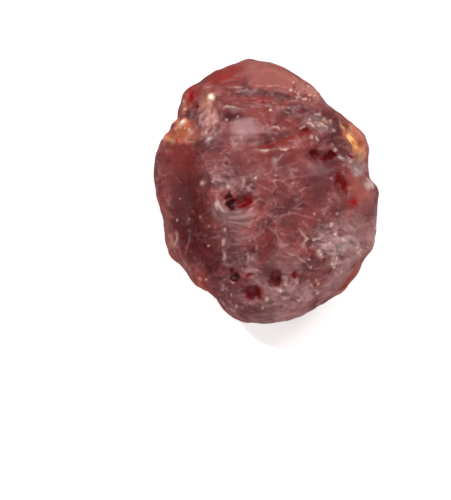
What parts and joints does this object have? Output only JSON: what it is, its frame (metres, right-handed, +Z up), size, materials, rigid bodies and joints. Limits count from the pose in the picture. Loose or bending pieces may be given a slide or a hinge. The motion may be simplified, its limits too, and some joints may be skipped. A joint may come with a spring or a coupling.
{
  "type": "rough spinel",
  "caption": "Rough waterworn spinel crystal, translucent mauve red, with pits, ledges and a lobed outline, lying on its flattest worn face.",
  "frame": {"origin": "on the surface that the stone lies on, under the middle of its outline", "axes": "+Y along the stone's length, +X across it, +Z up through its thickness to the pitted front"},
  "size_m": [0.008, 0.0094, 0.0056],
  "materials": {
    "spinel": "waterworn, half glossy, translucent mauve red with darker pits and orange windows"
  },
  "bodies": {
    "root": {"spinel_stone": "spinel"}
  },
  "joints": []
}
